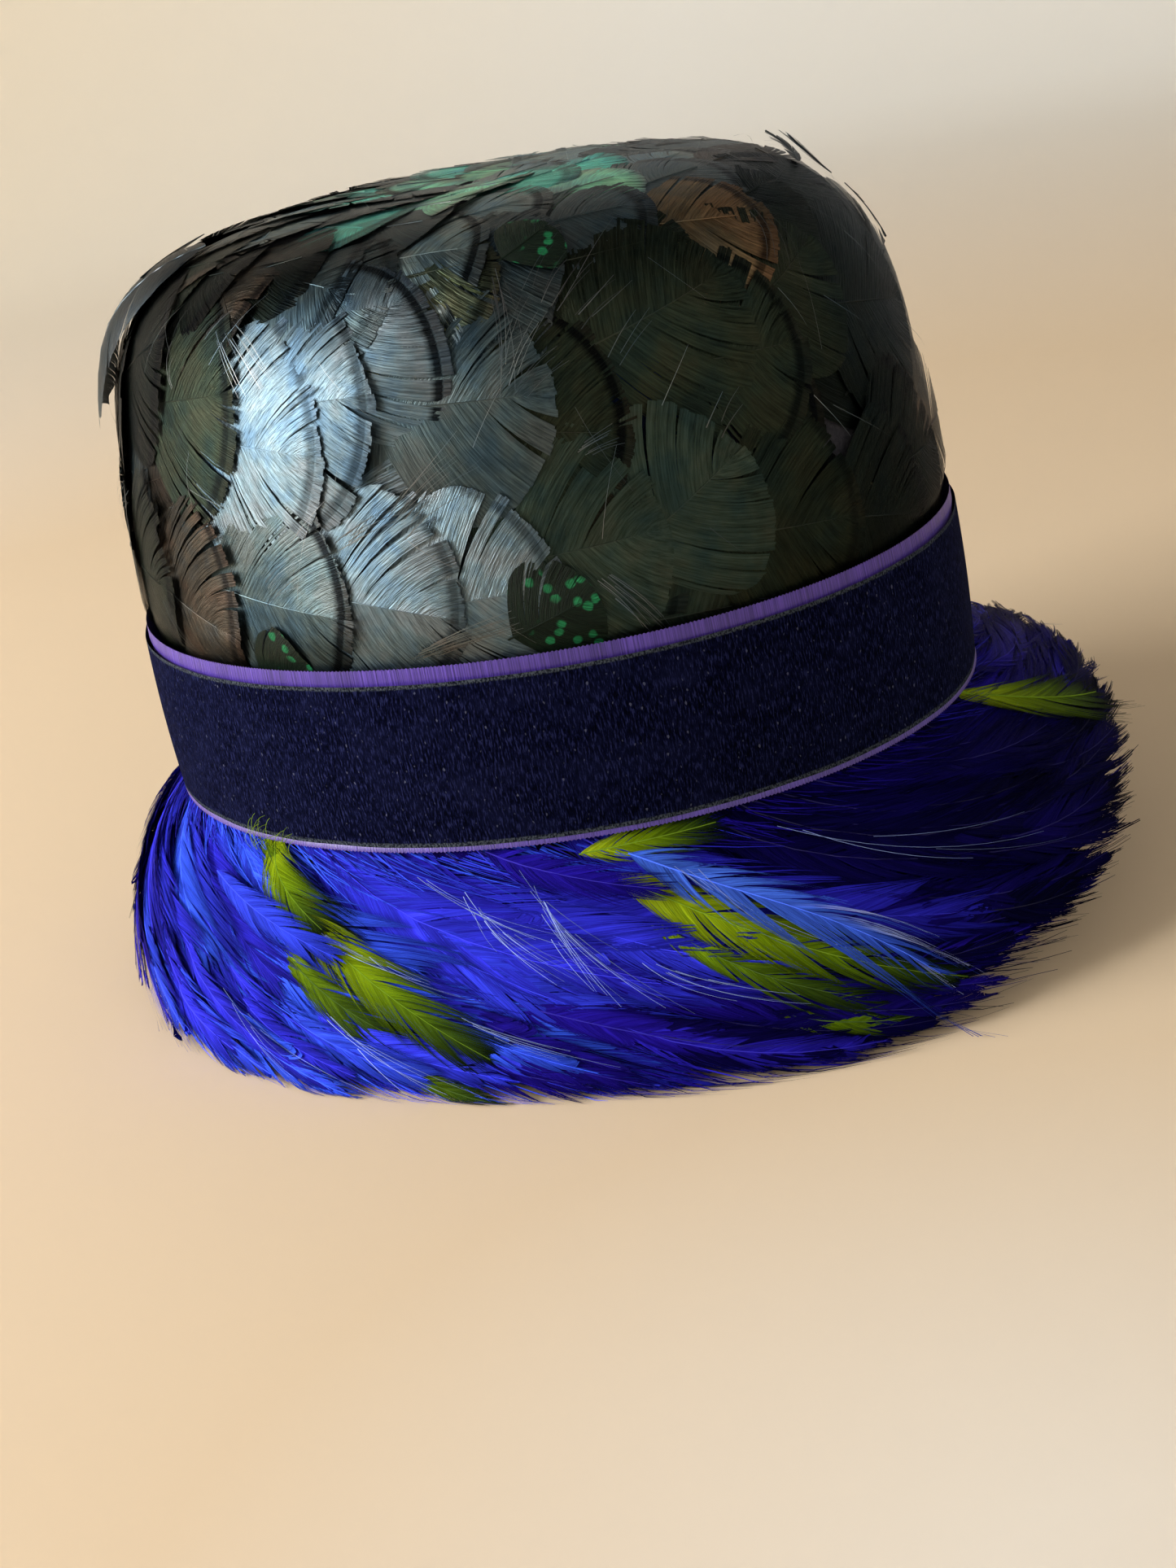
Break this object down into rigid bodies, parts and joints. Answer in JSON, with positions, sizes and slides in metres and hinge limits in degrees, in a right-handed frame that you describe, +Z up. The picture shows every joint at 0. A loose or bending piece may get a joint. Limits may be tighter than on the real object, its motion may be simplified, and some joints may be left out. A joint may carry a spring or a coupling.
{
  "type": "feather cloche hat",
  "caption": "Soft domed hat with a drooping brim, covered in flat iridescent feathers over the crown and swept blue hackles over the brim, with a wide velvet ribbon.",
  "frame": {"origin": "under the middle of the hat's box, on the table that its brim rests on", "axes": "+Z up, the front of the hat toward -Y, the wearer's right side toward -X"},
  "size_m": [0.2389, 0.2625, 0.1813],
  "materials": {
    "felt": "matt near-black wool felt",
    "crown_feather": "flat iridescent feathers, black to bronze and green, with a silky gloss",
    "satin": "violet satin with a soft sheen",
    "velvet": "midnight-blue velvet pile",
    "blue_hackle": "royal-blue dyed hackles, silky",
    "green_hackle": "yellow-green dyed hackles with darker tips"
  },
  "bodies": {
    "root": {"felt_body": "felt", "crown_feathers": "crown_feather", "satin_ribbon": "satin", "velvet_ribbon": "velvet", "brim_feathers": "blue_hackle", "green_hackle_1": "green_hackle", "green_hackle_2": "green_hackle", "green_hackle_3": "green_hackle", "green_hackle_4": "green_hackle", "green_hackle_5": "green_hackle", "green_hackle_6": "green_hackle", "green_hackle_7": "green_hackle", "shoulder_feather": "crown_feather"}
  },
  "joints": []
}
